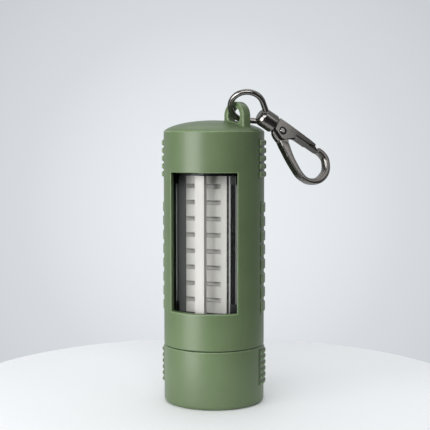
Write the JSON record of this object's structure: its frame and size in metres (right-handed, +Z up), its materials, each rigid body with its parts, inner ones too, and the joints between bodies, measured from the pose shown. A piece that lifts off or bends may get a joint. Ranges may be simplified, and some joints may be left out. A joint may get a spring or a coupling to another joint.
{
  "type": "magnetic fly box",
  "caption": "Round waterproof case for fishing flies, with a window, a magnetic rack on its base cap and a swivel clasp.",
  "frame": {"origin": "centre of the base cap's underside, where the case stands", "axes": "+Z up along the case's axis, -Y out of the window, +X to the right seen from the window"},
  "size_m": [0.0498, 0.03, 0.093],
  "materials": {
    "shell_green": "satin moulded, light grain, lighter worn edges",
    "cap_green": "satin moulded, light grain",
    "clear": "clear moulded plastic",
    "rubber_black": "matt",
    "block_black": "satin",
    "panel_grey": "satin",
    "rail_white": "satin",
    "magnet": "bright plated",
    "magnet_strip": "matt",
    "screw_steel": "zinc plated",
    "gunmetal": "polished dark nickel",
    "rivet": "polished",
    "spring_steel": "drawn wire"
  },
  "bodies": {
    "base": {"base_cap": "cap_green", "rack_foot": "block_black", "foot_screws": "screw_steel", "rack_panel": "panel_grey", "panel_magnets": "magnet", "magnet_cover": "block_black", "cover_screws": "screw_steel", "magnet_rail": "rail_white", "rail_magnet": "magnet_strip", "side_bars": "block_black", "rack_head": "block_black", "head_screws": "screw_steel"},
    "seal": {"o_ring": "rubber_black"},
    "shell": {"outer_shell": "shell_green", "clear_tube": "clear", "tube_gaskets": "rubber_black", "back_liner": "magnet_strip"},
    "ring": {"clasp_ring": "gunmetal", "swivel_barrel": "gunmetal"},
    "hook": {"hook_body": "gunmetal", "stem_washer": "gunmetal", "gate_rivet": "rivet", "gate_spring": "spring_steel"},
    "gate": {"gate_lever": "gunmetal"}
  },
  "joints": [
    {"name": "twist", "type": "hinge", "parent": "base", "child": "seal", "pos_m": [0, 0, 0.021], "axis": [0, 0, 1], "continuous": true},
    {"name": "lift", "type": "slide", "parent": "seal", "child": "shell", "axis": [0, 0, 1], "range_m": [0, 0.062]},
    {"name": "ring_swing", "type": "hinge", "parent": "shell", "child": "ring", "pos_m": [0.00804, -0.00445, 0.08535], "axis": [-0.5664, -0.8241, 0], "range_deg": [0, 105]},
    {"name": "hook_spin", "type": "hinge", "parent": "ring", "child": "hook", "pos_m": [0.01162, -0.00569, 0.08787], "axis": [0.7051, 0.481, -0.521], "continuous": true},
    {"name": "gate_pivot", "type": "hinge", "parent": "hook", "child": "gate", "pos_m": [0.02005, -0.00026, 0.08076], "axis": [-0.6647, 0.7042, -0.2496], "range_deg": [0, 28], "stiffness_Nm_per_rad": 0.002, "springref_deg": -28.65}
  ]
}
